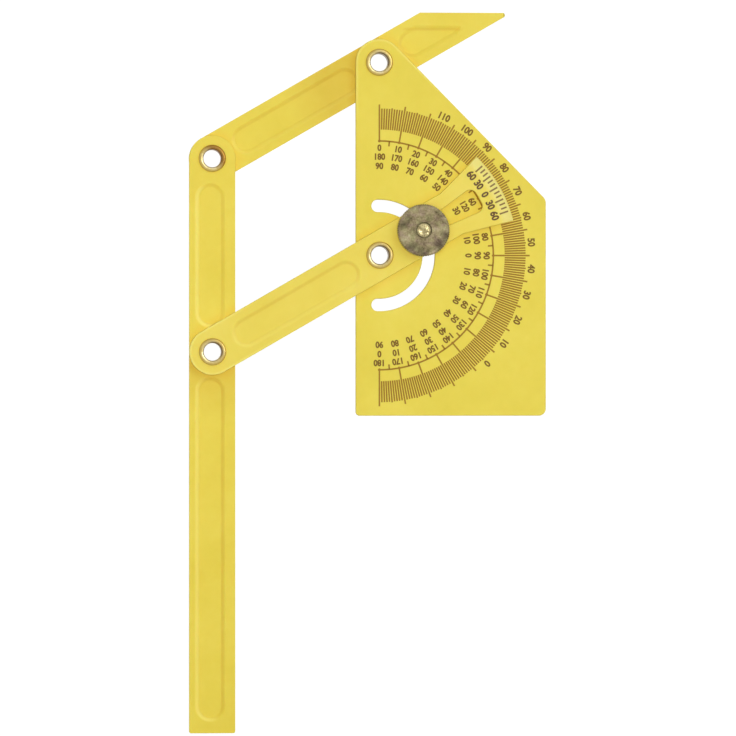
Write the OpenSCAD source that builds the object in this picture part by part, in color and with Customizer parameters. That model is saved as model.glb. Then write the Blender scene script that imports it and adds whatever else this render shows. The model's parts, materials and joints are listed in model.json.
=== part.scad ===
// Angle finder with arms: a protractor plate and three arms on four hollow rivets.
// The pivots form a rhombus, so the long arm stays parallel to the plate and the upper arm to the
// pointer arm. A thumb nut on a screw in the plate's arc slot clamps the pointer arm.
// The origin is on the axis of the centre pivot, at the plate's back face. +Z points to the print.

/* [Linkage] */
// Distance between neighbouring pivots, equal on all four sides
pivot_spacing = 81; // [78:1:100]
// Angle of the pointer arm above the plate's zero line
arm_angle = 30; // [15:1:45]
// Width of every arm
arm_w = 19.3; // [18.5:0.1:20]
// Thickness of the plate and of every arm
sheet_t = 3; // [2.6:0.1:4]
// Running gap between two flat layers
layer_gap = 0.1; // [0.05:0.05:0.2]

/* [Plate] */
// Left edge of the plate to its pivot line
plate_left = 9.9; // [9.9:0.1:10.6]
// Right edge of the plate to its pivot line
plate_right = 70.2; // [66:0.1:74]
// Bottom edge of the plate to the centre pivot
plate_bottom = 67.3; // [62:0.1:72]
// Radius of the plate's round top
plate_top_r = 9.85; // [9:0.05:9.9]
// Direction that the sloping edge faces, above the zero line
plate_slope = 44.5; // [40:0.5:50]
// Corner radius at the bottom right
plate_corner_r = 3; // [1:0.5:6]
// Corner radius at the bottom left
plate_small_corner_r = 1.7; // [0.5:0.1:4]
// Corner radius where the sloping edge meets the right edge
plate_slope_corner_r = 4; // [1:0.5:8]

/* [Arc slot] */
// Radius of the arc slot's middle line
slot_r = 20.8; // [20:0.1:22]
// Width of the arc slot
slot_w = 5.2; // [4.2:0.05:5.4]
// Angle of the slot's end centres, either side of the zero line
slot_half_angle = 92; // [80:1:100]

/* [Arms] */
// Middle pivot of the long arm to its square end
long_arm_reach = 159.7; // [120:0.1:200]
// Corner radius of the square end
arm_corner_r = 0.8; // [0.4:0.1:2]
// Top pivot of the upper arm to the start of its slanting cut, along the upper edge
tip_start = 25.6; // [22:0.1:30]
// Angle between the slanting cut and the arm
tip_angle = 30; // [26:1:40]
// Radius that blunts the point
tip_r = 1; // [0.5:0.1:1.5]

/* [Recesses] */
// Width of the arm recesses at the surface
recess_w = 12.2; // [10:0.1:13]
// Width of the sloping wall of a recess
recess_wall = 1.6; // [0.8:0.1:2]
// Depth of a recess, the same on both faces
recess_depth = 0.75; // [0.4:0.05:1]
// Pivot centre to the end of a recess
recess_start = 10.3; // [8:0.1:12]
// Square end of the long arm to the end of its recess
recess_end = 5.1; // [4:0.1:10]
// Slanting cut of the upper arm to the end of its recess
recess_tip_inset = 5.5; // [5:0.1:8]
// Plate's top pivot to the blunt end of the upper arm's outer recess
recess_tip_end = 39.2; // [36:0.1:42]
// Shift of the long arm's recesses towards its outer edge
long_recess_shift = 0.8; // [0:0.1:1.5]

/* [Pointer] */
// Radius of the pointer's reading edge
pointer_r = 58.3; // [55:0.1:60]
// Half angle of the fan-shaped pointer
pointer_half_angle = 15.4; // [14:0.1:17]
// Width of the bevelled strip at the reading edge
pointer_bevel_w = 4.6; // [3.5:0.1:5.5]
// Thickness left at the reading edge
pointer_edge_t = 0.7; // [0.5:0.1:1.2]
// Inner end of the reading window
window_in_r = 29.3; // [29:0.1:31]
// Outer end of the reading window
window_out_r = 48.2; // [46:0.1:49]
// Half angle of the reading window
window_half_angle = 6.6; // [6:0.1:7]
// Corner radius of the reading window
window_corner_r = 3; // [1:0.1:3.2]

/* [Hollow rivets] */
// Clear bore of a hollow rivet
eyelet_bore_d = 7.4; // [7:0.1:7.8]
// Wall of the rivet's barrel
eyelet_wall = 0.5; // [0.4:0.05:0.6]
// Radius of the front roll's section
eyelet_front_roll_r = 1; // [0.8:0.05:1.1]
// Radius of the back roll's section
eyelet_back_roll_r = 0.9; // [0.8:0.05:1.1]
// Diameter of the washer under the back roll
eyelet_washer_d = 12.6; // [12:0.1:14]
// Thickness of that washer
eyelet_washer_t = 0.4; // [0.3:0.1:0.8]
// Radial running clearance around a barrel
eyelet_play = 0.07; // [0.05:0.01:0.1]

/* [Clamp] */
// Diameter of the clamp screw
screw_d = 4; // [3.5:0.1:4]
// Pitch of its thread
thread_pitch = 0.7; // [0.5:0.05:0.8]
// Turns that the thumb nut can be backed off
loosen_turns = 1.25; // [0.5:0.25:1.25]
// Diameter of the screw's head behind the plate
screw_head_d = 10.5; // [9:0.1:12]
// Height of the head's straight rim
screw_rim_h = 0.4; // [0.3:0.1:0.8]
// Height of the head's dome above the rim
screw_dome_h = 1.6; // [1:0.1:2]
// Side clearance of the screw's square neck in the arc slot
neck_play = 0.275; // [0.2:0.025:0.35]
// Neck's end to the front face of the plate
neck_setback = 0.3; // [0.2:0.1:1]
// Diameter of both clamp washers
clamp_washer_d = 12.4; // [11.5:0.1:14]
// Thickness of both clamp washers
clamp_washer_t = 0.5; // [0.4:0.1:0.8]
// Diameter of the peened end of the screw
peen_d = 5.6; // [5:0.1:6]
// Thickness of the peened end
peen_t = 0.8; // [0.6:0.1:1]
// Width of the star marks in the peened end
peen_mark_w = 0.7; // [0.4:0.1:0.8]
// Depth of the star marks in the peened end
peen_mark_depth = 0.3; // [0.2:0.05:0.4]

/* [Thumb nut] */
// Outer diameter over the knurl
nut_d = 21.8; // [20:0.1:23]
// Height of the knurled head
nut_head_h = 4.2; // [3.8:0.1:5]
// Diameter of the hub under the head
nut_hub_d = 12; // [11:0.1:14]
// Height of the hub
nut_hub_h = 0.8; // [0.4:0.1:1.5]
// Number of knurl grooves
knurl_count = 72; // [48:1:84]
// Depth of a knurl groove
knurl_depth = 0.25; // [0.2:0.05:0.5]
// Chamfer at the head's edges
nut_chamfer = 0.6; // [0.4:0.1:0.8]
// Diameter of the pocket around the peened end
nut_pocket_d = 7; // [7:0.1:9]
// Depth of the peened end below the head's top face
peen_depth = 0.15; // [0.05:0.05:0.3]

/* [Hidden] */
$fn = 96;

// Clearances that no driving size sets
washer_play = 0.05;
thread_play = 0.05;
shank_play = 0.2;
neck_hole_play = 0.1;
peen_play = 0.06;
cut_over = 1;
// How far an arc stands past the straight edge that it runs into, so that no sliver is left there
arc_over = 0.01;

// Heights of the three layers: the plate and the long arm share the middle one
front_z = sheet_t + layer_gap;
back_z = -layer_gap - sheet_t;

// Pivot places at the modelled angle
arm_dir = [cos(arm_angle), sin(arm_angle)];
centre_pivot = [0, 0];
plate_top_pivot = [0, pivot_spacing];
arm_middle_pivot = centre_pivot - pivot_spacing * arm_dir;
arm_top_pivot = plate_top_pivot - pivot_spacing * arm_dir;
clamp_place = slot_r * arm_dir;

barrel_r = eyelet_bore_d / 2 + eyelet_wall;
pivot_hole_r = barrel_r + eyelet_play;

// Clamp stack, from the plate's back face to the thumb nut's top face
neck_w = slot_w - 2 * neck_play;
nut_base_z = front_z + sheet_t + clamp_washer_t;
nut_head_z = nut_base_z + nut_hub_h;
nut_top_z = nut_head_z + nut_head_h;
peen_top_z = nut_top_z - peen_depth;
peen_base_z = peen_top_z - peen_t;
nut_pocket_z = peen_base_z - thread_pitch * loosen_turns - peen_play;
head_z = -clamp_washer_t;

plastic = [0.92, 0.83, 0.37];
arm_plastic = [0.9, 0.82, 0.33];
nickel = [0.78, 0.76, 0.72];
steel = [0.6, 0.58, 0.54];
aged_metal = [0.57, 0.53, 0.42];

// The sliver outside a rounded corner. The corner is at c, aim points from it into the material,
// half is half of the corner's inner angle.
module corner_waste(c, aim, half, r) {
    run = r / tan(half);
    side = [run * cos(half), run * sin(half)];
    out = cut_over * [-sin(half), cos(half)];
    translate(c)
        rotate(aim)
            difference() {
                polygon([
                    [-cut_over / sin(half), 0],
                    [side.x + out.x, -side.y - out.y],
                    [side.x, -side.y],
                    [r / sin(half), 0],
                    side,
                    side + out
                ]);
                translate([r / sin(half), 0])
                    circle(r + arc_over);
            }
}

// A wedge of the given half angle that opens along +X
module wedge(half, reach) {
    polygon([[0, 0], [reach, -reach * tan(half)], [reach, reach * tan(half)]]);
}

// Flat ring between two radii
module ring(inner, outer) {
    difference() {
        circle(outer);
        circle(inner);
    }
}

// Washer standing on height z
module washer(place, z, outer_d, hole_r, t) {
    translate([place.x, place.y, z])
        linear_extrude(t)
            ring(hole_r, outer_d / 2);
}

// Places what follows in the frame of an arm that starts at a pivot and points along the linkage
module along_arm(pivot, z) {
    translate([pivot.x, pivot.y, z])
        rotate(arm_angle)
            children();
}

// Section of a recess across the arm, open at height 0 and cut a little above it
module recess_section() {
    over = cut_over * recess_wall / recess_depth;
    floor_half = recess_w / 2 - recess_wall;
    polygon([
        [-floor_half, -recess_depth],
        [floor_half, -recess_depth],
        [recess_w / 2 + over, cut_over],
        [-recess_w / 2 - over, cut_over]
    ]);
}

// One round end of a recess, centred on the recess's own axis
module recess_end_cone() {
    over = cut_over * recess_wall / recess_depth;
    translate([0, 0, -recess_depth])
        cylinder(h = recess_depth + cut_over, r1 = recess_w / 2 - recess_wall, r2 = recess_w / 2 + over);
}

// Recess with round ends along +X between x0 and x1
module recess(x0, x1) {
    end_r = recess_w / 2;
    translate([x0 + end_r, 0, 0])
        rotate([90, 0, 90])
            linear_extrude(x1 - x0 - 2 * end_r)
                recess_section();
    for (x = [x0 + end_r, x1 - end_r])
        translate([x, 0, 0])
            recess_end_cone();
}

// Puts a recess shape on both faces of a sheet
module both_faces() {
    translate([0, 0, sheet_t])
        children();
    mirror([0, 0, 1])
        children();
}

// Hole through a sheet for a rivet's barrel
module pivot_hole(place) {
    translate([place.x, place.y, -cut_over])
        cylinder(h = sheet_t + 2 * cut_over, r = pivot_hole_r);
}

module plate_outline() {
    normal = [cos(plate_slope), sin(plate_slope)];
    top = [plate_top_r - plate_left, pivot_spacing];
    slope_touch = top + (plate_top_r - arc_over) * normal;
    slope_y = (normal * slope_touch - plate_right * normal.x) / normal.y;
    slope_half = (180 - plate_slope) / 2;
    difference() {
        union() {
            polygon([
                [-plate_left, -plate_bottom],
                [plate_right, -plate_bottom],
                [plate_right, slope_y],
                slope_touch,
                top,
                [-plate_left, top.y]
            ]);
            translate(top)
                circle(plate_top_r);
        }
        corner_waste([plate_right, -plate_bottom], 135, 45, plate_corner_r);
        corner_waste([-plate_left, -plate_bottom], 45, 45, plate_small_corner_r);
        corner_waste([plate_right, slope_y], 270 - slope_half, slope_half, plate_slope_corner_r);
    }
}

// Round arc slot for the clamp screw
module arc_slot() {
    height = sheet_t + 2 * cut_over;
    translate([0, 0, -cut_over])
        rotate(-slot_half_angle)
            rotate_extrude(angle = 2 * slot_half_angle)
                translate([slot_r - slot_w / 2, 0])
                    square([slot_w, height]);
    for (side = [-1, 1])
        rotate(side * slot_half_angle)
            translate([slot_r, 0, -cut_over])
                cylinder(h = height, r = slot_w / 2);
}

module protractor_plate() {
    color(plastic)
        difference() {
            linear_extrude(sheet_t)
                plate_outline();
            pivot_hole(centre_pivot);
            pivot_hole(plate_top_pivot);
            arc_slot();
        }
}

module pointer_outline() {
    join_x = arm_w / 2 / tan(pointer_half_angle);
    translate([-pivot_spacing, 0])
        circle(arm_w / 2);
    translate([-pivot_spacing, -arm_w / 2])
        square([pivot_spacing + join_x, arm_w]);
    intersection() {
        circle(pointer_r);
        wedge(pointer_half_angle, 2 * pointer_r);
    }
}

// Reading window: a ring sector whose outer corners are round
module window_outline() {
    corner_centre_r = window_out_r - window_corner_r;
    corner_angle = window_half_angle - asin(window_corner_r / corner_centre_r);
    intersection() {
        ring(window_in_r, corner_centre_r);
        wedge(window_half_angle, 2 * pointer_r);
    }
    intersection() {
        ring(window_in_r, window_out_r);
        wedge(corner_angle, 2 * pointer_r);
    }
    for (side = [-1, 1])
        rotate(side * corner_angle)
            translate([corner_centre_r, 0])
                circle(window_corner_r + arc_over);
}

// What the bevel at the reading edge takes away, over twice the fan's angle
module pointer_bevel() {
    drop = sheet_t - pointer_edge_t;
    over = cut_over * drop / pointer_bevel_w;
    rotate(-2 * pointer_half_angle)
        rotate_extrude(angle = 4 * pointer_half_angle)
            polygon([
                [pointer_r - pointer_bevel_w, sheet_t],
                [pointer_r + cut_over, pointer_edge_t - over],
                [pointer_r + cut_over, sheet_t + cut_over],
                [pointer_r - pointer_bevel_w, sheet_t + cut_over]
            ]);
}

module pointer_arm() {
    color(arm_plastic)
        along_arm(centre_pivot, front_z)
            difference() {
                linear_extrude(sheet_t)
                    pointer_outline();
                pivot_hole([-pivot_spacing, 0]);
                pivot_hole([0, 0]);
                translate([slot_r, 0, -cut_over])
                    cylinder(h = sheet_t + 2 * cut_over, r = screw_d / 2 + shank_play);
                translate([0, 0, -cut_over])
                    linear_extrude(sheet_t + 2 * cut_over)
                        window_outline();
                pointer_bevel();
                both_faces()
                    recess(recess_start - pivot_spacing, -recess_start);
            }
}

module upper_arm_outline() {
    tip_x = tip_start + arm_w / tan(tip_angle);
    difference() {
        union() {
            translate([-pivot_spacing, 0])
                circle(arm_w / 2);
            polygon([
                [-pivot_spacing, -arm_w / 2],
                [tip_x, -arm_w / 2],
                [tip_start, arm_w / 2],
                [-pivot_spacing, arm_w / 2]
            ]);
        }
        corner_waste([tip_x, -arm_w / 2], 180 - tip_angle / 2, tip_angle / 2, tip_r);
    }
}

// Recess beyond the top pivot: a wall parallel to the slanting cut trims its round end
module tip_recess() {
    reach = 2 * arm_w / sin(tip_angle);
    over = cut_over * recess_wall / recess_depth;
    intersection() {
        recess(recess_start, recess_tip_end);
        translate([tip_start, arm_w / 2, 0])
            rotate(-tip_angle)
                translate([-reach, -recess_tip_inset, 0])
                    rotate([90, 0, 90])
                        linear_extrude(3 * reach)
                            polygon([
                                [-reach, -recess_depth - cut_over],
                                [-recess_wall, -recess_depth - cut_over],
                                [-recess_wall, -recess_depth],
                                [over, cut_over],
                                [-reach, cut_over]
                            ]);
    }
}

module upper_arm() {
    color(arm_plastic)
        along_arm(plate_top_pivot, back_z)
            difference() {
                linear_extrude(sheet_t)
                    upper_arm_outline();
                pivot_hole([-pivot_spacing, 0]);
                pivot_hole([0, 0]);
                both_faces()
                    recess(recess_start - pivot_spacing, -recess_start);
                both_faces()
                    tip_recess();
            }
}

module long_arm_outline() {
    end = pivot_spacing + long_arm_reach;
    difference() {
        union() {
            circle(arm_w / 2);
            translate([0, -arm_w / 2])
                square([end, arm_w]);
        }
        corner_waste([end, arm_w / 2], 225, 45, arm_corner_r);
        corner_waste([end, -arm_w / 2], 135, 45, arm_corner_r);
    }
}

module long_arm() {
    color(arm_plastic)
        translate([arm_top_pivot.x, arm_top_pivot.y, 0])
            rotate(-90)
                difference() {
                    linear_extrude(sheet_t)
                        long_arm_outline();
                    pivot_hole([0, 0]);
                    pivot_hole([pivot_spacing, 0]);
                    both_faces()
                        translate([0, -long_recess_shift, 0])
                            recess(recess_start, pivot_spacing - recess_start);
                    both_faces()
                        translate([0, -long_recess_shift, 0])
                            recess(pivot_spacing + recess_start, pivot_spacing + long_arm_reach - recess_end);
                }
}

// Hollow rivet between the back face at back and the front face at front, rolled over at both ends
module eyelet(place, back, front) {
    bore_r = eyelet_bore_d / 2;
    foot = back - eyelet_washer_t;
    color(nickel)
        translate([place.x, place.y, 0])
            rotate_extrude() {
                translate([bore_r, foot])
                    square([eyelet_wall, front - foot]);
                intersection() {
                    translate([bore_r + eyelet_front_roll_r, front])
                        circle(eyelet_front_roll_r);
                    translate([bore_r, front])
                        square([2 * eyelet_front_roll_r, eyelet_front_roll_r]);
                }
                intersection() {
                    translate([bore_r + eyelet_back_roll_r, foot])
                        circle(eyelet_back_roll_r);
                    translate([bore_r, foot - eyelet_back_roll_r])
                        square([2 * eyelet_back_roll_r, eyelet_back_roll_r]);
                }
            }
}

module eyelet_washer(place, back) {
    color(steel)
        washer(place, back - eyelet_washer_t, eyelet_washer_d, barrel_r + washer_play, eyelet_washer_t);
}

module eyelet_centre() {
    eyelet(centre_pivot, 0, front_z + sheet_t);
}

module eyelet_plate_top() {
    eyelet(plate_top_pivot, back_z, sheet_t);
}

module eyelet_arm_top() {
    eyelet(arm_top_pivot, back_z, sheet_t);
}

module eyelet_arm_middle() {
    eyelet(arm_middle_pivot, 0, front_z + sheet_t);
}

module eyelet_washer_centre() {
    eyelet_washer(centre_pivot, 0);
}

module eyelet_washer_plate_top() {
    eyelet_washer(plate_top_pivot, back_z);
}

module eyelet_washer_arm_top() {
    eyelet_washer(arm_top_pivot, back_z);
}

module eyelet_washer_arm_middle() {
    eyelet_washer(arm_middle_pivot, 0);
}

// Domed head behind the plate, square neck in the slot, round shank and peened end
module clamp_screw() {
    head_r = screw_head_d / 2;
    dome_r = (head_r * head_r + screw_dome_h * screw_dome_h) / (2 * screw_dome_h);
    rim_z = head_z - screw_rim_h;
    color(steel)
        along_arm(clamp_place, 0)
            difference() {
                union() {
                    translate([0, 0, rim_z])
                        cylinder(h = screw_rim_h, r = head_r);
                    intersection() {
                        translate([0, 0, rim_z - screw_dome_h + dome_r])
                            sphere(dome_r);
                        translate([0, 0, rim_z - screw_dome_h])
                            cylinder(h = screw_dome_h, r = head_r);
                    }
                    translate([-neck_w / 2, -neck_w / 2, head_z])
                        cube([neck_w, neck_w, sheet_t - neck_setback - head_z]);
                    translate([0, 0, head_z])
                        cylinder(h = peen_top_z - head_z, r = screw_d / 2);
                    translate([0, 0, peen_base_z])
                        cylinder(h = peen_t, r = peen_d / 2);
                }
                for (turn = [0, 60, 120])
                    translate([0, 0, peen_top_z])
                        rotate(turn)
                            cube([2 * peen_d, peen_mark_w, 2 * peen_mark_depth], center = true);
            }
}

module screw_washer() {
    color(steel)
        washer(clamp_place, head_z, clamp_washer_d, neck_w / sqrt(2) + neck_hole_play, clamp_washer_t);
}

module nut_washer() {
    color(steel)
        washer(clamp_place, front_z + sheet_t, clamp_washer_d, screw_d / 2 + shank_play, clamp_washer_t);
}

// Knurled outline: the radius dips by the groove depth between neighbouring ridges
module knurl_outline() {
    step = 360 / knurl_count;
    ridge_r = nut_d / 2;
    polygon([
        for (i = [0 : knurl_count - 1])
            for (k = [[0, ridge_r], [0.3, ridge_r], [0.65, ridge_r - knurl_depth]])
                k[1] * [cos((i + k[0]) * step), sin((i + k[0]) * step)]
    ]);
}

// Solid of revolution that chamfers both edges of the knurled head
module nut_head_envelope() {
    r = nut_d / 2;
    rotate_extrude()
        polygon([
            [0, 0],
            [r - nut_chamfer, 0],
            [r, nut_chamfer],
            [r, nut_head_h - nut_chamfer],
            [r - nut_chamfer, nut_head_h],
            [0, nut_head_h]
        ]);
}

module thumb_nut() {
    color(aged_metal)
        along_arm(clamp_place, 0)
            difference() {
                union() {
                    translate([0, 0, nut_base_z])
                        cylinder(h = nut_hub_h + nut_chamfer, r = nut_hub_d / 2);
                    translate([0, 0, nut_head_z])
                        intersection() {
                            linear_extrude(nut_head_h)
                                knurl_outline();
                            nut_head_envelope();
                        }
                }
                translate([0, 0, nut_base_z - cut_over])
                    cylinder(h = nut_head_h + nut_hub_h, r = screw_d / 2 + thread_play);
                translate([0, 0, nut_pocket_z])
                    cylinder(h = nut_top_z - nut_pocket_z + cut_over, r = nut_pocket_d / 2);
            }
}

protractor_plate();
pointer_arm();
upper_arm();
long_arm();
eyelet_centre();
eyelet_plate_top();
eyelet_arm_top();
eyelet_arm_middle();
eyelet_washer_centre();
eyelet_washer_plate_top();
eyelet_washer_arm_top();
eyelet_washer_arm_middle();
clamp_screw();
screw_washer();
nut_washer();
thumb_nut();
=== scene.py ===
"""Angle finder with arms: camera, light, floor, printed scales and the finish of every surface."""

import json
import math

import bmesh
import bpy
from mathutils import Matrix, Vector


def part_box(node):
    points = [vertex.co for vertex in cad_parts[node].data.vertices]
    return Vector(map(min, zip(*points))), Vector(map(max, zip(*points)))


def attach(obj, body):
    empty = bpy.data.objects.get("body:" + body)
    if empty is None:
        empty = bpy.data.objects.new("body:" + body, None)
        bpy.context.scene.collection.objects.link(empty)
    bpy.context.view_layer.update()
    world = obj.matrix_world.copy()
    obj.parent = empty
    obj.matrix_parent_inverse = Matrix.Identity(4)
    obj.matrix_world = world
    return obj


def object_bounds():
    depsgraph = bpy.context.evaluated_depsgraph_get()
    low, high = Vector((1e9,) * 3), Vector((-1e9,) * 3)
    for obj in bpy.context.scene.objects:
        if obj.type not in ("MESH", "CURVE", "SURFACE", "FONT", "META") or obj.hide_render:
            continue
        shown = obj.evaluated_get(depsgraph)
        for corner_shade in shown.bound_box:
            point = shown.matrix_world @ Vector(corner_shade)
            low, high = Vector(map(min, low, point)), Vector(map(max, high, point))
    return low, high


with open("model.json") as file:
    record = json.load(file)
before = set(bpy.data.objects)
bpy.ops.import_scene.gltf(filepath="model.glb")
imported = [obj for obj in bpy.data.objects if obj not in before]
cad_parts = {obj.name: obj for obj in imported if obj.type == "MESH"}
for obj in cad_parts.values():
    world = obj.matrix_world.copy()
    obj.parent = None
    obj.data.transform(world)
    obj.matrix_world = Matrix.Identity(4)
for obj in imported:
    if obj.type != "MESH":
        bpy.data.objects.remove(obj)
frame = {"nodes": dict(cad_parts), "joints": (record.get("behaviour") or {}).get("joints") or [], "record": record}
cad_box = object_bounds()

MM = 0.001

# The photograph's frame: its size, its scale and where the centre pivot lies in it
PHOTO_PX = 736
MM_PER_PX = 0.42
PIVOT_PX = (378.9, 255.5)

# Camera: a long lens almost straight above, leaning a little to the left
CAMERA_DISTANCE = 2.4
CAMERA_LEAN = math.radians(4)
CAMERA_CLIP_END = 50
SENSOR_W = 36

# Light: azimuth, elevation, distance, size and power of each lamp, and the light from all around
KEY_LAMP = (40, 46, 2.2, 2.2, 10)
TOP_LAMP = (190, 87, 3.2, 1.0, 66)
SHINE_LAMP = (20, 48, 2.2, 1.2, 14)
SKY_STRENGTH = 0.18

# Floor: the tone that lights the object, and the tone and glow that the camera sees
FLOOR_SIZE = 8
FLOOR_TONE = (0.8, 0.8, 0.8, 1)
FLOOR_SEEN_TONE = (0.2, 0.2, 0.2, 1)
FLOOR_GLOW = 0.9

# Moulded edges: their radii, and the least angle between two faces that gets one
PLASTIC_EDGE_R = 0.45 * MM
UPPER_ARM_EDGE_R = 0.25 * MM
POINTER_EDGE_R = 0.3 * MM
EDGE_SEGMENTS = 3
EDGE_ANGLE = math.radians(15)
OUTER_EDGE_ANGLE = math.radians(60)
FLAT_ANGLE = math.radians(0.4)
WELD_DISTANCE = 0.0005 * MM

# The arms' recesses, in mm
RECESS_START = 10.3
RECESS_HALF_W = 6.1
RECESS_LOW_END = 5.1
RECESS_WALL = 1.6
RECESS_CENTRE = RECESS_START + RECESS_HALF_W
TIP_RECESS_INSET = 5.5
TIP_RECESS_SHOWN = 0.1
LONG_RECESS_SHIFT = 0.8

# Painted shade along a recess's wall and a painted highlight on its lip, as distances in mm from its middle line:
# start, full, fade and end
WALL_SHADE_BAND = (4.2, 4.9, 5.3, 6.1)
LIP_HIGHLIGHT_BAND = (4.6, 5.3, 5.9, 6.7)

# Painted shade along the straight wall of the upper arm's tip recess, in mm along the wall and off it
TIP_WALL_SPAN = (9.5, 11.5, 33, 36)
TIP_WALL_BAND = (-0.8, -0.1, 0.3, 1.0)

# Painted light on the plastic: the painted highlight on the rim round a pivot, the painted sheen on the bevel, the
# ragged edge of painted shade patches and painted shade in corners
RIM_HIGHLIGHT_NEAR_R = 16 * MM
RIM_HIGHLIGHT_FAR_R = 30 * MM
RIM_HIGHLIGHT_W = 1.3 * MM
SHEEN_BEFORE = 1.6 * MM
SHEEN_AFTER = 1.2 * MM
SHADE_RAGGED = 8 * MM
CORNER_SHADE_REACH = 4 * MM

# Dark tarnish on the nut: x, y from its axis and size, in mm
NUT_TARNISH_SPOTS = ((-5.0, -7.4, 2.0), (9.2, -1.8, 1.4), (6.6, -6.4, 1.9), (-8.4, 2.6, 1.2),
                     (0.4, -9.8, 1.0), (-7.0, 6.0, 1.0))

# The screw's peened end: a dimple a little off its axis, and the ring round it
DIMPLE_PLACE = (-0.5 * MM, -0.4 * MM)
RING_RISE = (1.0 * MM, 2.2 * MM)
RING_FALL = (2.5 * MM, 3.6 * MM)

# Rivets: clean up to the first radius, fully tarnished from the second
RIVET_CLEAN_R = 4.2 * MM
RIVET_TARNISH_R = 5.2 * MM

# Towards one side a rivet gets painted shade inside its bore, and is browned by its own share
RIVET_BORE_WALL = (4.1 * MM, 4.5 * MM)
RIVET_SHADE_AND_BROWN_ANGLE = math.radians(40)
RIVETS_BROWNED = (("eyelet_centre", 0.12), ("eyelet_plate_top", 0.1), ("eyelet_arm_top", 0.85),
                  ("eyelet_arm_middle", 0.18))

# Ink
INK_LIFT = 0.02 * MM
INK_SINK = 0.03 * MM

# Main scale, as radii from the centre pivot
SCALE_ARC_R = 48 * MM
SCALE_ARC_W = 0.66 * MM
DEGREE_IN_R = 52.8 * MM
DEGREE_OUT_R = 61.6 * MM
FIVE_OUT_R = 61.9 * MM
TEN_OUT_R = 63.3 * MM
DEGREE_LINE_W = 0.64 * MM
TEN_LINE_W = 0.64 * MM
TICK_IN_R = 45.9 * MM
DOT_R = 0.6 * MM
INNER_ROWS = ((45.2 * MM, lambda a: 90 - a), (41.45 * MM, lambda a: 90 + a), (37.55 * MM, abs))
INNER_DIGIT_H = 2.5 * MM
OUTER_LABEL_R = 64.3 * MM
OUTER_DIGIT_H = 2.8 * MM
DIGIT_SPREAD = 0.15 * MM
OUTER_ZERO_ANGLE = -45
OUTER_LABELS = range(0, 111, 10)

# Vernier on the pointer arm
VERNIER_TICKS = 13
VERNIER_LONG_EVERY = 3
VERNIER_STEP = 11 / 6
VERNIER_LABELS = ((-6, 60), (-3, 30), (0, 0), (3, 30), (6, 60))
VERNIER_OUT_R = 57.2 * MM
VERNIER_SHORT_R = 54.6 * MM
VERNIER_LONG_R = 53.3 * MM
VERNIER_LINE_W = 0.66 * MM
VERNIER_LABEL_R = 51.1 * MM
VERNIER_DIGIT_H = 2.9 * MM
VERNIER_DIGIT_SPREAD = 0.18 * MM
BEVEL_TOP_R = 53.7 * MM
BEVEL_DROP = 2.3 / 4.6

# The built-in font's digits are 0.7 of its size tall
DIGIT_SHARE = 0.7
DIGIT_SQUEEZE = 0.9


def joint_place(name):
    """Where a joint's axis crosses the row frame's plane."""
    return next(Vector(j["pos_m"]) for j in frame["joints"] if j["name"] == name)


def linear(r, g, b):
    """A colour given as 0 to 255 display values, as the shader's linear values."""
    def one(value):
        share = value / 255
        return share / 12.92 if share <= 0.04045 else ((share + 0.055) / 1.055) ** 2.4
    return (one(r), one(g), one(b), 1)


# Tints of the plastic, all painted shade: in corners and beside walls, beside parts that lie over it, towards the
# long arm's lower end for light falling off, and along a recess's wall
CORNER_SHADE_TINT = (0.97, 0.92, 0.88, 1)
OVERLAP_SHADE_TINT = (0.91, 0.84, 0.77, 1)
FALLOFF_SHADE_TINT = (0.955, 0.95, 0.88, 1)
RECESS_SHADE = (0.95, 0.88, 0.84, 1)

# Tones of the plastic: usual, deep and pale, then the painted sheen on the bevel, the painted highlight on a rim
# round a pivot, and the painted highlight on a recess's lip
PLATE_TONES = (linear(237, 218, 88), linear(232, 213, 82), linear(242, 224, 98))
ARM_TONES = (linear(239, 218, 88), linear(234, 212, 80), linear(243, 224, 98))
POINTER_TONES = (linear(241, 221, 98), linear(237, 216, 90), linear(244, 226, 110))
BEVEL_SHEEN_TONE = linear(245, 230, 132)
RIM_HIGHLIGHT_TONE = linear(252, 236, 128)
LIP_HIGHLIGHT_TONE = linear(252, 236, 122)

# Tones of the ink: dark and pale
DIGIT_INK = (linear(104, 70, 4), linear(132, 98, 18))
LINE_INK = (linear(150, 108, 18), linear(164, 124, 34))
VERNIER_INK = (linear(84, 56, 24), linear(112, 84, 44))
VERNIER_LINE_INK = (linear(118, 90, 34), linear(142, 114, 52))

# Tones of the metals: dark and pale, or the stops of a ramp
WASHER_TONES = (linear(128, 124, 116), linear(178, 174, 166))
PEENED_TONES = (linear(150, 136, 96), linear(200, 188, 142))
NICKEL_STOPS = ((0.3, linear(182, 162, 104)), (0.5, linear(210, 194, 140)), (0.8, linear(234, 222, 180)))
NICKEL_TARNISH = linear(188, 162, 80)
NICKEL_BORE_SHADE = linear(96, 76, 44)
NICKEL_BROWN = linear(140, 96, 34)
NUT_STOPS = ((0.34, linear(80, 68, 52)), (0.44, linear(122, 110, 82)), (0.56, linear(152, 140, 106)),
             (0.72, linear(192, 182, 150)))
NUT_TARNISH = linear(74, 64, 52)
NUT_BLOOM_STOPS = ((0.36, (1, 0.93, 1.12, 1)), (0.5, (1, 1, 1, 1)), (0.64, (0.94, 1.03, 0.94, 1)))

# Directions in the drawing plane
LEFT = Vector((-1, 0, 0))
RIGHT = Vector((1, 0, 0))
UP = Vector((0, 1, 0))
DOWN = Vector((0, -1, 0))
UP_RIGHT = Vector((0.26, 0.966, 0))
RIGHT_UP = Vector((0.87, 0.5, 0))

# The linkage: the pointer's axis in degrees, and the distance between pivots in mm
ARM_ANGLE = math.degrees(math.atan2(joint_place("nut_turn").y, joint_place("nut_turn").x))
PIVOT_SPACING = joint_place("upper_arm_swing").length / MM


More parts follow.
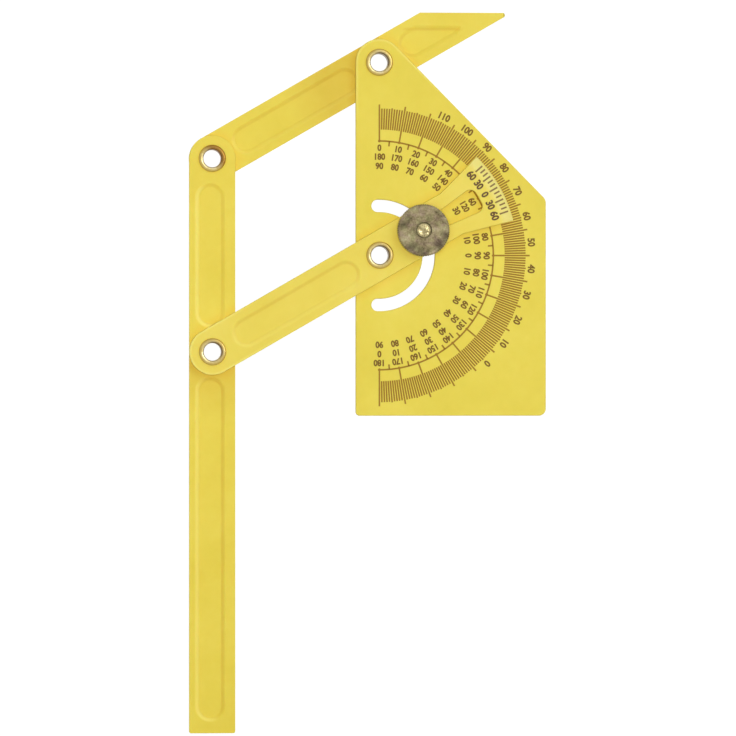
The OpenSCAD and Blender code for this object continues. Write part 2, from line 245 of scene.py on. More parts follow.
# Camera
def make_camera():
    centre = PHOTO_PX / 2
    x = (centre - PIVOT_PX[0]) * MM_PER_PX * MM
    y = (PIVOT_PX[1] - centre) * MM_PER_PX * MM
    view_w = PHOTO_PX * MM_PER_PX * MM
    data = bpy.data.cameras.new("camera")
    data.sensor_width = SENSOR_W
    data.lens = SENSOR_W * CAMERA_DISTANCE / view_w
    data.clip_end = CAMERA_CLIP_END
    camera = bpy.data.objects.new("camera", data)
    bpy.context.scene.collection.objects.link(camera)
    reach = Vector((-math.sin(CAMERA_LEAN), 0, math.cos(CAMERA_LEAN))) * CAMERA_DISTANCE
    camera.location = Vector((x, y, 0)) + reach
    camera.rotation_euler = (0, -CAMERA_LEAN, 0)
    bpy.context.scene.camera = camera


# Light and floor
def make_lamp(name, azimuth, elevation, distance, size, power, lights=True, shines=True):
    """A round soft lamp. It can do without lighting the faces or without leaving a reflection."""
    data = bpy.data.lights.new(name, "AREA")
    data.shape = "DISK"
    data.size = size
    data.energy = power
    lamp = bpy.data.objects.new(name, data)
    lamp.visible_diffuse = lights
    lamp.visible_glossy = shines
    bpy.context.scene.collection.objects.link(lamp)
    turn, lift = math.radians(azimuth), math.radians(elevation)
    level = Vector((math.cos(turn), math.sin(turn), 0))
    towards = level * math.cos(lift) + Vector((0, 0, math.sin(lift)))
    lamp.location = towards * distance
    lamp.rotation_euler = towards.to_track_quat("Z", "Y").to_euler()


def seen_share(nodes, links):
    """1 for rays that show the background itself, 0 for rays that only carry its light."""
    path = nodes.new("ShaderNodeLightPath")
    first = nodes.new("ShaderNodeMath")
    first.operation = "MAXIMUM"
    links.new(path.outputs["Is Camera Ray"], first.inputs[0])
    links.new(path.outputs["Is Glossy Ray"], first.inputs[1])
    second = nodes.new("ShaderNodeMath")
    second.operation = "MAXIMUM"
    links.new(first.outputs[0], second.inputs[0])
    links.new(path.outputs["Is Transmission Ray"], second.inputs[1])
    return second.outputs[0]


def make_world():
    world = bpy.data.worlds.new("soft_sky")
    world.use_nodes = True
    nodes, links = world.node_tree.nodes, world.node_tree.links
    nodes.clear()
    shown = nodes.new("ShaderNodeBackground")
    shown.inputs["Strength"].default_value = 1
    light = nodes.new("ShaderNodeBackground")
    light.inputs["Strength"].default_value = SKY_STRENGTH
    for background in (shown, light):
        background.inputs["Color"].default_value = (1, 1, 1, 1)
    mix = nodes.new("ShaderNodeMixShader")
    links.new(seen_share(nodes, links), mix.inputs[0])
    links.new(light.outputs[0], mix.inputs[1])
    links.new(shown.outputs[0], mix.inputs[2])
    links.new(mix.outputs[0], nodes.new("ShaderNodeOutputWorld").inputs["Surface"])
    bpy.context.scene.world = world


def make_floor():
    """A pale floor at the object's lowest point. The camera sees it white with the object's soft shadow."""
    bm = bmesh.new()
    bmesh.ops.create_grid(bm, x_segments=1, y_segments=1, size=FLOOR_SIZE / 2)
    bmesh.ops.translate(bm, verts=bm.verts, vec=(0, 0, cad_box[0][2]))
    mesh = bpy.data.meshes.new("floor")
    bm.to_mesh(mesh)
    bm.free()
    floor = bpy.data.objects.new("floor", mesh)
    bpy.context.scene.collection.objects.link(floor)
    material = bpy.data.materials.new("floor_white")
    material.use_nodes = True
    nodes, links = material.node_tree.nodes, material.node_tree.links
    nodes.clear()
    plain = nodes.new("ShaderNodeBsdfDiffuse")
    plain.inputs["Color"].default_value = FLOOR_TONE
    shade = nodes.new("ShaderNodeBsdfDiffuse")
    shade.inputs["Color"].default_value = FLOOR_SEEN_TONE
    glow = nodes.new("ShaderNodeEmission")
    glow.inputs["Strength"].default_value = FLOOR_GLOW
    shown = nodes.new("ShaderNodeAddShader")
    links.new(shade.outputs[0], shown.inputs[0])
    links.new(glow.outputs[0], shown.inputs[1])
    mix = nodes.new("ShaderNodeMixShader")
    links.new(seen_share(nodes, links), mix.inputs[0])
    links.new(plain.outputs[0], mix.inputs[1])
    links.new(shown.outputs[0], mix.inputs[2])
    links.new(mix.outputs[0], nodes.new("ShaderNodeOutputMaterial").inputs["Surface"])
    mesh.materials.append(material)


# Materials
class Finish:
    """A Principled material with short calls for the nodes that every finish here uses."""

    def __init__(self, name, roughness, metallic=0.0):
        self.material = bpy.data.materials.new(name)
        self.material.use_nodes = True
        self.nodes = self.material.node_tree.nodes
        self.links = self.material.node_tree.links
        self.shader = self.nodes["Principled BSDF"]
        self.shader.inputs["Metallic"].default_value = metallic
        self.shader.inputs["Roughness"].default_value = roughness
        self.place = self.nodes.new("ShaderNodeTexCoord").outputs["Object"]

    def moved(self, location=(0, 0, 0), rotation=(0, 0, 0), scale=(1, 1, 1)):
        node = self.nodes.new("ShaderNodeMapping")
        node.inputs["Location"].default_value = location
        node.inputs["Rotation"].default_value = rotation
        node.inputs["Scale"].default_value = scale
        self.links.new(self.place, node.inputs["Vector"])
        return node.outputs[0]

    def noise(self, scale, detail=2.0, roughness=0.5, at=None, distortion=0.0):
        node = self.nodes.new("ShaderNodeTexNoise")
        node.inputs["Scale"].default_value = scale
        node.inputs["Detail"].default_value = detail
        node.inputs["Roughness"].default_value = roughness
        node.inputs["Distortion"].default_value = distortion
        self.links.new(self.place if at is None else at, node.inputs["Vector"])
        return node.outputs["Fac"]

    def ramp(self, value, stops):
        node = self.nodes.new("ShaderNodeValToRGB")
        elements = node.color_ramp.elements
        while len(elements) < len(stops):
            elements.new(0.5)
        for element, (position, colour) in zip(elements, stops):
            element.position = position
            element.color = colour
        self.links.new(value, node.inputs["Fac"])
        return node.outputs["Color"]

    def span(self, value, low_in, high_in, low_out, high_out):
        node = self.nodes.new("ShaderNodeMapRange")
        node.inputs["From Min"].default_value = low_in
        node.inputs["From Max"].default_value = high_in
        node.inputs["To Min"].default_value = low_out
        node.inputs["To Max"].default_value = high_out
        self.links.new(value, node.inputs["Value"])
        return node.outputs["Result"]

    def maths(self, operation, first, second):
        node = self.nodes.new("ShaderNodeMath")
        node.operation = operation
        for socket, value in zip(node.inputs, (first, second)):
            if isinstance(value, (int, float)):
                socket.default_value = value
            else:
                self.links.new(value, socket)
        return node.outputs[0]

    def mix(self, share, first, second, blend="MIX"):
        node = self.nodes.new("ShaderNodeMix")
        node.data_type = "RGBA"
        node.blend_type = blend
        for name, kind, value in (("Factor", "VALUE", share), ("A", "RGBA", first), ("B", "RGBA", second)):
            socket = next(s for s in node.inputs if s.name == name and s.type == kind)
            if isinstance(value, (int, float, tuple)):
                socket.default_value = value
            else:
                self.links.new(value, socket)
        return next(s for s in node.outputs if s.type == "RGBA")

    def weighted(self, first, first_weight, second, second_weight):
        return self.maths("ADD", self.maths("MULTIPLY", first, first_weight),
                          self.maths("MULTIPLY", second, second_weight))

    def parts(self, vector):
        """The X and Y of a vector."""
        node = self.nodes.new("ShaderNodeSeparateXYZ")
        self.links.new(vector, node.inputs[0])
        return node.outputs["X"], node.outputs["Y"]

    def length(self, x, y):
        squares = [self.maths("MULTIPLY", value, value) for value in (x, y)]
        return self.maths("SQRT", self.maths("ADD", *squares), 0.0)

    def radius(self, centre=(0, 0)):
        """Distance from an upright axis through centre, in the frame of self.place."""
        return self.length(*self.parts(self.moved(location=(-centre[0], -centre[1], 0))))

    def along(self, vector, direction):
        """How far a vector reaches in a direction of length 1."""
        node = self.nodes.new("ShaderNodeVectorMath")
        node.operation = "DOT_PRODUCT"
        self.links.new(vector, node.inputs[0])
        node.inputs[1].default_value = direction
        return node.outputs["Value"]

    def openness(self, distance, inside=False):
        """1 on open faces, less in corners and beside walls. From inside, less beside outer edges."""
        node = self.nodes.new("ShaderNodeAmbientOcclusion")
        node.samples = 8
        node.inside = inside
        node.only_local = inside
        node.inputs["Distance"].default_value = distance
        return node.outputs["AO"]

    def bump(self, height, distance, strength=1.0, onto=None):
        node = self.nodes.new("ShaderNodeBump")
        node.inputs["Distance"].default_value = distance
        node.inputs["Strength"].default_value = strength
        self.links.new(height, node.inputs["Height"])
        if onto is not None:
            self.links.new(onto, node.inputs["Normal"])
        return node.outputs["Normal"]

    def wire(self, socket, value):
        self.links.new(value, self.shader.inputs[socket])


def scuffs(finish, angle, stretch=26.0, scale=2600.0, edge=0.7):
    """Fine straight rub marks that all run one way."""
    at = finish.moved(rotation=(0, 0, angle), scale=(1, 1 / stretch, 1))
    return finish.span(finish.noise(scale, 3, 0.6, at), edge, edge + 0.1, 0, 1)


def on_side(finish, place, side):
    """1 where a surface lies on one side of a place, else 0."""
    return finish.maths("GREATER_THAN", finish.along(finish.moved(location=-place), side), 0.0)


def band(finish, value, start, full, fade, end):
    """1 where a value lies from full to fade, 0 below start and above end, all in mm."""
    rise = finish.span(value, start * MM, full * MM, 0, 1)
    return finish.maths("MINIMUM", rise, finish.span(value, fade * MM, end * MM, 1, 0))


def recess_lines(finish, colouring, start, end, shade_side, side_share, round_share, lip_highlight_share):
    """Painted shade along the wall of a round-ended recess and a painted highlight on its lip, given the centres
    of its round ends.
    The painted shade has side_share on shade_side and round_share opposite. The painted highlight lies opposite."""
    axis = end - start
    half = axis.length / 2
    angle = -math.atan2(axis.y, axis.x)
    turn = Matrix.Rotation(angle, 3, "Z")
    at = finish.moved(location=-(turn @ ((start + end) / 2)), rotation=(0, 0, angle))
    along, across = finish.parts(at)
    beside = finish.maths("MINIMUM", finish.maths("MAXIMUM", along, -half), half)
    past_end = finish.maths("SUBTRACT", along, beside)
    distance = finish.length(past_end, across)
    towards = turn @ shade_side
    facing = finish.weighted(past_end, towards.x, across, towards.y)
    facing = finish.maths("DIVIDE", facing, finish.maths("MAXIMUM", distance, 0.1 * MM))
    # Painted shade along the wall, on the shade side
    shade = finish.maths("MULTIPLY", band(finish, distance, *WALL_SHADE_BAND),
                         finish.span(facing, -0.4, 0.6, round_share, side_share))
    colouring = finish.mix(shade, colouring, RECESS_SHADE, "MULTIPLY")
    # Painted highlight on the lip, opposite the shade side
    lip_highlight = finish.maths("MULTIPLY", band(finish, distance, *LIP_HIGHLIGHT_BAND),
                       finish.span(facing, 0.2, -0.6, 0, lip_highlight_share))
    return finish.mix(lip_highlight, colouring, LIP_HIGHLIGHT_TONE)


def moulded_plastic(name, colour, deep, pale, sheen_from=None, highlight_rim_at=None, shade_patches=(), recesses=(),
                    wall_shade_line=None):
    """Satin yellow plastic: slightly uneven colour, fine moulded grain, faint rub marks.
    Beyond a given radius, on the fan side, the bevel gets a painted sheen. Round a given pivot its outer edges get
    a painted highlight. Each painted shade patch has a place, a side of it, the distances where it starts to fade
    and ends, and a tint. Corners and places beside walls get painted shade. Each recess is given as recess_lines
    takes it, and the straight painted shade along a wall is given as its bands along X and Y in mm."""
    finish = Finish(name, 0.42)
    finish.shader.inputs["Specular IOR Level"].default_value = 0.25
    finish.shader.inputs["Subsurface Weight"].default_value = 0.3
    finish.shader.inputs["Subsurface Radius"].default_value = (1, 0.7, 0.3)
    finish.shader.inputs["Subsurface Scale"].default_value = 1.5 * MM
    cloudy = finish.noise(28, 3)
    fine = finish.noise(240, 4, 0.6)
    base = finish.ramp(finish.weighted(cloudy, 0.7, fine, 0.3), ((0.3, deep), (0.5, colour), (0.7, pale)))
    rubs = finish.maths("MAXIMUM", scuffs(finish, 0.5), scuffs(finish, 2.2, edge=0.72))
    colouring = finish.mix(finish.maths("MULTIPLY", rubs, 0.25), base, pale)
    # Painted sheen: the bevel beyond the given radius is paler on the fan side
    if sheen_from is not None:
        fan_side = on_side(finish, Vector(), RIGHT)
        sheen = finish.span(finish.radius(), sheen_from - SHEEN_BEFORE, sheen_from + SHEEN_AFTER, 0, 1)
        colouring = finish.mix(finish.maths("MULTIPLY", sheen, fan_side), colouring, BEVEL_SHEEN_TONE)
    # Patches of painted shade, each with a ragged edge
    for place, side, near, far, tint in shade_patches:
        reach = finish.maths("ADD", finish.radius(place), finish.maths("MULTIPLY", cloudy, SHADE_RAGGED))
        fading = finish.span(reach, near * MM, far * MM, 1, 0)
        share = finish.maths("MULTIPLY", fading, on_side(finish, place, side))
        colouring = finish.mix(share, colouring, tint, "MULTIPLY")
    # Painted highlight on the outer edges round the given pivot
    if highlight_rim_at is not None:
        near = finish.span(finish.radius(highlight_rim_at), RIM_HIGHLIGHT_NEAR_R, RIM_HIGHLIGHT_FAR_R, 1, 0)
        rim = finish.span(finish.openness(RIM_HIGHLIGHT_W, inside=True), 0.98, 0.6, 0, 0.9)
        colouring = finish.mix(finish.maths("MULTIPLY", near, rim), colouring, RIM_HIGHLIGHT_TONE)
    # Painted shade in corners and beside walls
    corner_shade = finish.span(finish.openness(CORNER_SHADE_REACH), 1, 0.76, 0, 1)
    colouring = finish.mix(corner_shade, colouring, CORNER_SHADE_TINT, "MULTIPLY")
    for recess in recesses:
        colouring = recess_lines(finish, colouring, *recess)
    # Painted shade along a straight wall
    if wall_shade_line is not None:
        x, y = finish.parts(finish.place)
        line = finish.maths("MULTIPLY", band(finish, x, *wall_shade_line[0]), band(finish, y, *wall_shade_line[1]))
        colouring = finish.mix(line, colouring, RECESS_SHADE, "MULTIPLY")
    finish.wire("Base Color", colouring)
    rough = finish.span(finish.noise(900, 2), 0.3, 0.7, 0.46, 0.58)
    finish.wire("Roughness", finish.maths("ADD", rough, finish.maths("MULTIPLY", rubs, 0.12)))
    grain = finish.bump(finish.noise(2400, 3, 0.6), 0.012 * MM, 0.6)
    waves = finish.bump(cloudy, 0.35 * MM, 0.25, grain)
    finish.wire("Normal", finish.bump(rubs, -0.006 * MM, 0.6, waves))
    return finish.material


def printed_ink(name, dark, pale):
    """Dark screen-printed ink, thinner in places."""
    finish = Finish(name, 0.55)
    worn = finish.noise(1800, 3, 0.7)
    finish.wire("Base Color", finish.ramp(worn, ((0.35, dark), (0.75, pale))))
    finish.wire("Roughness", finish.span(worn, 0.2, 0.8, 0.45, 0.7))
    finish.wire("Normal", finish.bump(worn, 0.004 * MM, 0.5))
    return finish.material


def rivet_nickel(name, centre, browned):
    """Nickel plate, bright where pencils rub the bore and olive with tarnish towards the outer edge.
    The upper right side has gone brown by the share browned, and inside the bore on that side it has painted
    shade."""
    finish = Finish(name, 0.3, 1.0)
    finish.place = finish.moved(location=(-centre.x, -centre.y, 0))
    stain = finish.noise(420, 4, 0.65, distortion=0.6)
    clean = finish.ramp(stain, NICKEL_STOPS)
    radius = finish.radius()
    tarnish = finish.span(radius, RIVET_CLEAN_R, RIVET_TARNISH_R, 0, 0.85)
    tone = finish.mix(tarnish, clean, NICKEL_TARNISH)
    side = finish.along(finish.place, (math.cos(RIVET_SHADE_AND_BROWN_ANGLE), math.sin(RIVET_SHADE_AND_BROWN_ANGLE), 0))
    # Painted shade inside the bore, on one side
    inside = finish.span(radius, *RIVET_BORE_WALL, 1, 0)
    bore_shade = finish.span(side, 0.4 * MM, 2.4 * MM, 0, 0.8)
    tone = finish.mix(finish.maths("MULTIPLY", inside, bore_shade), tone, NICKEL_BORE_SHADE)
    brown_side = finish.span(side, -1.5 * MM, 2.5 * MM, 0, browned)
    tone = finish.mix(brown_side, tone, NICKEL_BROWN)
    finish.wire("Base Color", tone)
    finish.wire("Roughness", finish.span(stain, 0.3, 0.7, 0.44, 0.32))
    marks = finish.noise(3000, 3, 0.7, finish.moved(scale=(1, 1, 0.15)))
    finish.wire("Normal", finish.bump(marks, 0.01 * MM, 0.4))
    return finish.material


def plain_steel(name, dark, pale):
    finish = Finish(name, 0.35, 1.0)
    patches = finish.noise(700, 4, 0.65)
    finish.wire("Base Color", finish.ramp(patches, ((0.3, dark), (0.7, pale))))
    finish.wire("Roughness", finish.span(patches, 0.3, 0.7, 0.46, 0.3))
    finish.wire("Normal", finish.bump(finish.noise(3200, 3, 0.7), 0.008 * MM, 0.5))
    return finish.material


def peened_steel():
    """Plain steel. On the screw's axis its upset end has a raised ring round a hammered dimple."""
    finish = Finish("screw_steel_peened", 0.3, 1.0)
    axis = joint_place("nut_turn")
    finish.place = finish.moved(location=(-axis.x, -axis.y, 0))
    patches = finish.noise(700, 4, 0.65)
    dark, pale = PEENED_TONES
    finish.wire("Base Color", finish.ramp(patches, ((0.35, dark), (0.7, pale))))
    finish.wire("Roughness", finish.span(patches, 0.3, 0.7, 0.36, 0.24))
    uneven = finish.maths("MULTIPLY", finish.noise(500, 2), 1.4 * MM)
    warped = finish.maths("ADD", finish.radius(DIMPLE_PLACE), uneven)
    rise = finish.span(warped, *RING_RISE, 0, 1)
    fall = finish.span(warped, *RING_FALL, 1, 0)
    ring = finish.bump(finish.maths("MULTIPLY", rise, fall), 0.5 * MM, 1.0)
    finish.wire("Normal", finish.bump(finish.noise(2400, 3, 0.7), 0.02 * MM, 0.6, ring))
    return finish.material


def aged_nut_metal():
    """Grey-brown turned metal, scratched on top and blotched dark round the rim."""
    finish = Finish("nut_aged_metal", 0.4, 1.0)
    axis = joint_place("nut_turn")
    finish.place = finish.moved(location=(-axis.x, -axis.y, 0))
    radius = finish.radius()
    blotches = finish.noise(230, 4, 0.7, distortion=0.4)
    fine = finish.noise(1500, 4, 0.7)
    base = finish.ramp(finish.weighted(blotches, 0.65, fine, 0.35), NUT_STOPS)
    top_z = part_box("thumb_nut")[1].z
    for x, y, size in NUT_TARNISH_SPOTS:
        offset = finish.nodes.new("ShaderNodeVectorMath")
        offset.operation = "DISTANCE"
        finish.links.new(finish.place, offset.inputs[0])
        offset.inputs[1].default_value = (x * MM, y * MM, top_z)
        reach = finish.maths("ADD", offset.outputs["Value"], finish.maths("MULTIPLY", blotches, 5 * MM))
        spot = finish.span(reach, (size + 1.2) * MM, (size + 4.0) * MM, 0.75, 0)
        base = finish.mix(spot, base, NUT_TARNISH)
    bloom = finish.ramp(finish.noise(330, 3, 0.6), NUT_BLOOM_STOPS)
    finish.wire("Base Color", finish.mix(1.0, base, bloom, "MULTIPLY"))
    finish.wire("Roughness", finish.span(fine, 0.3, 0.7, 0.3, 0.5))
    circle = finish.nodes.new("ShaderNodeCombineXYZ")
    finish.links.new(radius, circle.inputs[0])
    turned = finish.bump(finish.noise(9000, 2, 0.6, circle.outputs[0]), 0.01 * MM, 0.5)
    marks = finish.maths("MAXIMUM", scuffs(finish, 0.9, 18, 1300, 0.62),
                         scuffs(finish, 2.4, 18, 1300, 0.64))
    finish.wire("Normal", finish.bump(marks, -0.03 * MM, 0.7, turned))
    return finish.material


# Shapes
def soften(node, radius, from_angle=EDGE_ANGLE, clamped=False):
    """Small round edges on a CAD node, as a mould leaves them. Clamped, they narrow on narrow faces."""
    piece = frame["nodes"][node]
    weld = piece.modifiers.new("weld", "WELD")
    weld.merge_threshold = WELD_DISTANCE
    flat = piece.modifiers.new("flat", "DECIMATE")
    flat.decimate_type = "DISSOLVE"
    flat.angle_limit = FLAT_ANGLE
    bevel = piece.modifiers.new("bevel", "BEVEL")
    bevel.width = radius
    bevel.segments = EDGE_SEGMENTS
    bevel.limit_method = "ANGLE"
    bevel.angle_limit = from_angle
    bevel.harden_normals = True
    bevel.use_clamp_overlap = clamped


def polar(radius, degrees, z):
    angle = math.radians(degrees)
    return Vector((radius * math.cos(angle), radius * math.sin(angle), z))


def closed_prism(bm, top, depth):
    """A closed slab under a loop of points that runs anticlockwise seen from above."""
    upper = [bm.verts.new(p) for p in top]
    lower = [bm.verts.new(p - Vector((0, 0, depth))) for p in top]
    bm.faces.new(upper)
    bm.faces.new(list(reversed(lower)))
    for i, vert in enumerate(upper):
        after = (i + 1) % len(upper)
        bm.faces.new((vert, lower[i], lower[after], upper[after]))


def radial_line(bm, degrees, stations, width):
    """A straight line along a radius. Each station is a radius and the height of the surface there."""
    side = polar(1, degrees + 90, 0) * (width / 2)
    for (r_in, z_in), (r_out, z_out) in zip(stations, stations[1:]):
        inner = polar(r_in, degrees, z_in + INK_LIFT)
        outer = polar(r_out, degrees, z_out + INK_LIFT)
        closed_prism(bm, [inner - side, outer - side, outer + side, inner + side], INK_LIFT + INK_SINK)


def arc_line(bm, radius, width, start, end, step, z):
    """An arc as one closed band of short slabs."""
    count = round((end - start) / step)
    loop = [polar(radius + width / 2, start + step * i, z + INK_LIFT) for i in range(count + 1)]
    loop += [polar(radius - width / 2, end - step * i, z + INK_LIFT) for i in range(count + 1)]
    closed_prism(bm, loop, INK_LIFT + INK_SINK)


def dot(bm, place, radius, sides=16):
    loop = [place + polar(radius, 360 * i / sides, 0) for i in range(sides)]
    closed_prism(bm, loop, INK_LIFT + INK_SINK)


def outward(loop):
    """The sideways direction out of the face at a loop's edge, in the drawing plane."""
    along = (loop.link_loop_next.vert.co - loop.vert.co).normalized()
    return Vector((along.y, -along.x, 0))


def embolden(glyphs, spread):
    """Moves a flat drawing's outline outwards, so that its strokes grow wider by twice the spread."""
    moves = {}
    for vert in glyphs.verts:
        rims = [edge for edge in vert.link_edges if edge.is_boundary]
        sides = [outward(loop) for edge in rims for loop in edge.link_loops]
        if len(sides) == 2:
            mitre = (sides[0] + sides[1]) / max(0.5, 1 + sides[0].dot(sides[1]))
            moves[vert] = mitre * spread
    for vert, move in moves.items():
        vert.co += move


def label(bm, words, radius, degrees, height, z, spread):
    """Digits whose tops point away from the centre."""
    curve = bpy.data.curves.new("digits", "FONT")
    curve.body = words
    curve.size = height / DIGIT_SHARE
    curve.align_x = "CENTER"
    curve.resolution_u = 4
    carrier = bpy.data.objects.new("digits", curve)
    bpy.context.scene.collection.objects.link(carrier)
    bpy.context.view_layer.update()
    depsgraph = bpy.context.evaluated_depsgraph_get()
    mesh = bpy.data.meshes.new_from_object(carrier.evaluated_get(depsgraph))
    glyphs = bmesh.new()
    glyphs.from_mesh(mesh)
    bmesh.ops.remove_doubles(glyphs, verts=glyphs.verts, dist=0.002 * MM)
    embolden(glyphs, spread)
    bmesh.ops.translate(glyphs, verts=glyphs.verts, vec=(0, -height / 2, -INK_SINK))
    bmesh.ops.scale(glyphs, verts=glyphs.verts, vec=(DIGIT_SQUEEZE, 1, 1))
    upper = bmesh.ops.extrude_face_region(glyphs, geom=glyphs.faces[:])
    raised = [g for g in upper["geom"] if isinstance(g, bmesh.types.BMVert)]
    bmesh.ops.translate(glyphs, verts=raised, vec=(0, 0, INK_LIFT + INK_SINK))
    bmesh.ops.recalc_face_normals(glyphs, faces=glyphs.faces)
    turn = Matrix.Rotation(math.radians(degrees - 90), 4, "Z")
    glyphs.transform(Matrix.Translation(polar(radius, degrees, z)) @ turn)
    glyphs.to_mesh(mesh)
    glyphs.free()
    bm.from_mesh(mesh)
    bpy.data.meshes.remove(mesh)
    bpy.data.objects.remove(carrier)
    bpy.data.curves.remove(curve)


def ink_piece(name, bm, body, material):
    mesh = bpy.data.meshes.new(name)
    bm.to_mesh(mesh)
    bm.free()
    mesh.materials.append(material)
    piece = bpy.data.objects.new(name, mesh)
    bpy.context.scene.collection.objects.link(piece)
    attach(piece, body)


def print_scale(ink, line_ink):
    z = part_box("protractor_plate")[1].z
    lines = bmesh.new()
    arc_line(lines, SCALE_ARC_R, SCALE_ARC_W, -90, 90, 1.5, z)
    for degrees in range(-90, 91):
        if degrees % 10 == 0:
            ends, width = (SCALE_ARC_R, TEN_OUT_R), TEN_LINE_W
            dot(lines, polar(SCALE_ARC_R, degrees, z + INK_LIFT * 1.2), DOT_R)
        elif degrees % 5 == 0:
            ends, width = (DEGREE_IN_R, FIVE_OUT_R), DEGREE_LINE_W
            radial_line(lines, degrees, ((TICK_IN_R, z), (SCALE_ARC_R, z)), TEN_LINE_W)
        else:
            ends, width = (DEGREE_IN_R, DEGREE_OUT_R), DEGREE_LINE_W
        radial_line(lines, degrees, [(r, z) for r in ends], width)
    ink_piece("scale_lines", lines, "protractor", line_ink)
    digits = bmesh.new()
    for degrees in range(-90, 91, 10):
        for radius, value in INNER_ROWS:
            label(digits, str(value(degrees)), radius, degrees, INNER_DIGIT_H, z, DIGIT_SPREAD)
    for value in OUTER_LABELS:
        angle = OUTER_ZERO_ANGLE + value
        label(digits, str(value), OUTER_LABEL_R, angle, OUTER_DIGIT_H, z, DIGIT_SPREAD)
    ink_piece("scale_digits", digits, "protractor", ink)


def print_vernier(ink, line_ink):
    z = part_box("pointer_arm")[1].z

    def surface(radius):
        return (radius, z - max(0, radius - BEVEL_TOP_R) * BEVEL_DROP)

    lines = bmesh.new()
    middle = VERNIER_TICKS // 2
    for i in range(VERNIER_TICKS):
        degrees = ARM_ANGLE + (i - middle) * VERNIER_STEP
        if i % VERNIER_LONG_EVERY == 0:
            stations = [surface(r) for r in (VERNIER_LONG_R, BEVEL_TOP_R, VERNIER_OUT_R)]
        else:
            stations = [surface(r) for r in (VERNIER_SHORT_R, VERNIER_OUT_R)]
        radial_line(lines, degrees, stations, VERNIER_LINE_W)
    ink_piece("vernier_lines", lines, "pointer", line_ink)
    digits = bmesh.new()
    for step, value in VERNIER_LABELS:
        angle = ARM_ANGLE + step * VERNIER_STEP
        label(digits, str(value), VERNIER_LABEL_R, angle, VERNIER_DIGIT_H, z, VERNIER_DIGIT_SPREAD)
    ink_piece("vernier_digits", digits, "pointer", ink)


def arm_point(pivot, along, angle=ARM_ANGLE):
    """A point on an arm's axis, at a distance in mm from a pivot."""
    place = pivot + polar(along * MM, angle, 0)
    return Vector((place.x, place.y, 0))


def plate_yellow():
    return moulded_plastic("plate_yellow", *PLATE_TONES, highlight_rim_at=joint_place("upper_arm_swing"))


def upper_arm_yellow():
    """Painted shade lies along the walls of both recesses and beside the plate, to the left of its top pivot; one
    recess's lip has a faint painted highlight.
    """
    pivot = joint_place("upper_arm_swing")
    inwards = -arm_point(Vector(), 1).normalized()
    recesses = (
        (arm_point(pivot, RECESS_CENTRE - PIVOT_SPACING), arm_point(pivot, -RECESS_CENTRE),
         UP_RIGHT, 0.6, 0.1, 0.15),
        (arm_point(pivot, RECESS_CENTRE), arm_point(pivot, RECESS_CENTRE + TIP_RECESS_SHOWN),
         inwards, 0.6, 0, 0),
    )
    wall_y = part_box("upper_arm")[1].y / MM - TIP_RECESS_INSET - RECESS_WALL
    tip_wall_shade = (TIP_WALL_SPAN, [wall_y + offset for offset in TIP_WALL_BAND])
    # The tint left of the plate's top pivot is painted shade beside the plate
    return moulded_plastic("upper_arm_yellow", *ARM_TONES, recesses=recesses, wall_shade_line=tip_wall_shade,
                           shade_patches=((pivot, LEFT, 30, 47, OVERLAP_SHADE_TINT),))


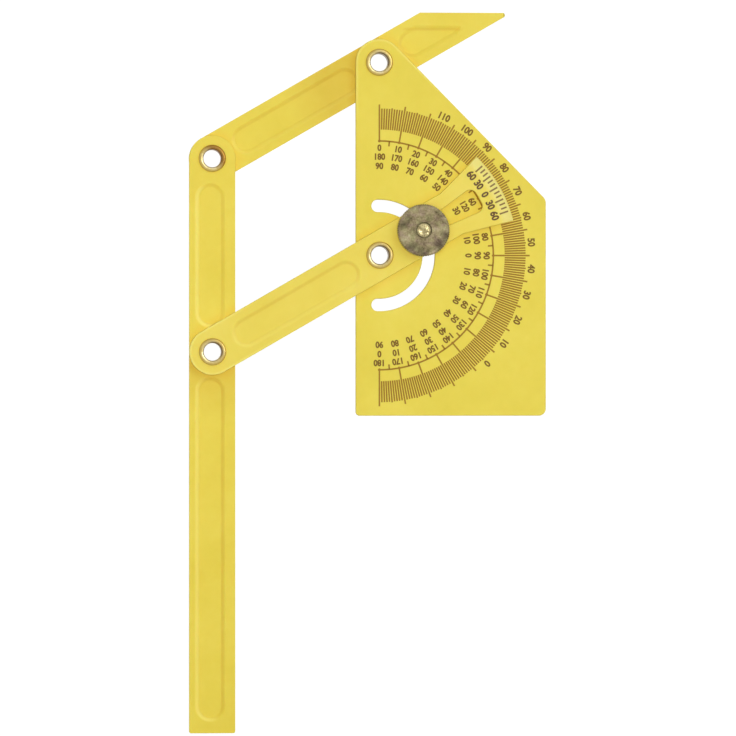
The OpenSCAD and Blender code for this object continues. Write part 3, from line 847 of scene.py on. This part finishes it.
def long_arm_yellow():
    """Painted shade lies along the walls of both recesses and below the middle pivot, with painted highlights on
    their lips. Towards the lower end, painted shade stands for light falling off.
    """
    pivot = joint_place("long_arm_swing")
    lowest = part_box("long_arm")[0]
    low_end = (lowest.y - pivot.y) / MM + RECESS_LOW_END + RECESS_HALF_W
    low_axis = pivot + Vector((-LONG_RECESS_SHIFT * MM, 0, 0))
    top_axis = low_axis + joint_place("upper_arm_swing")
    recesses = (
        (arm_point(top_axis, -RECESS_CENTRE, 90), arm_point(low_axis, RECESS_CENTRE, 90),
         RIGHT_UP, 0.45, 0, 0.7),
        (arm_point(low_axis, -RECESS_CENTRE, 90), arm_point(low_axis, low_end, 90),
         RIGHT_UP, 0.8, 0.1, 0.5),
    )
    # The tint below the middle pivot is painted shade; the tint towards the lower end is painted shade of light
    # falling off
    return moulded_plastic("long_arm_yellow", *ARM_TONES, recesses=recesses,
                           shade_patches=((pivot, DOWN, 12, 31, OVERLAP_SHADE_TINT), (lowest, UP, 20, 140, FALLOFF_SHADE_TINT)))


def pointer_yellow():
    """Painted shade lies along the recess's wall with a painted highlight on its lip, the bevel has a painted
    sheen, and the rim round the left pivot has a painted highlight.
    """
    centre = joint_place("pointer_swing")
    recess = (arm_point(centre, RECESS_CENTRE - PIVOT_SPACING), arm_point(centre, -RECESS_CENTRE),
              UP_RIGHT, 0.6, 0, 0.3)
    return moulded_plastic("pointer_yellow", *POINTER_TONES, sheen_from=BEVEL_TOP_R,
                           highlight_rim_at=joint_place("long_arm_swing"), recesses=(recess,))


def finish_nodes():
    by_slot = {
        "plate_plastic": plate_yellow(),
        "washer_steel": plain_steel("washer_steel_plate", *WASHER_TONES),
        "screw_steel": peened_steel(),
        "nut_metal": aged_nut_metal(),
    }
    by_node = {
        "pointer_arm": pointer_yellow(),
        "upper_arm": upper_arm_yellow(),
        "long_arm": long_arm_yellow(),
    }
    for node, browned in RIVETS_BROWNED:
        low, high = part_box(node)
        by_node[node] = rivet_nickel(node + "_nickel", (low + high) / 2, browned)
    for part in frame["record"]["subparts"]:
        mesh = frame["nodes"][part["node"]].data
        mesh.materials.clear()
        mesh.materials.append(by_node.get(part["node"]) or by_slot[part["material_slot"]])


def soften_mouldings():
    soften("protractor_plate", PLASTIC_EDGE_R)
    soften("long_arm", PLASTIC_EDGE_R, clamped=True)
    soften("upper_arm", UPPER_ARM_EDGE_R, OUTER_EDGE_ANGLE)
    soften("pointer_arm", POINTER_EDGE_R)


bpy.context.scene.view_settings.view_transform = "Standard"
make_camera()
make_lamp("key", *KEY_LAMP)
make_lamp("top", *TOP_LAMP, shines=False)
make_lamp("shine", *SHINE_LAMP, lights=False)
make_world()
make_floor()
finish_nodes()
soften_mouldings()
print_scale(printed_ink("digit_ink", *DIGIT_INK), printed_ink("line_ink", *LINE_INK))
print_vernier(printed_ink("vernier_ink", *VERNIER_INK), printed_ink("vernier_line_ink", *VERNIER_LINE_INK))
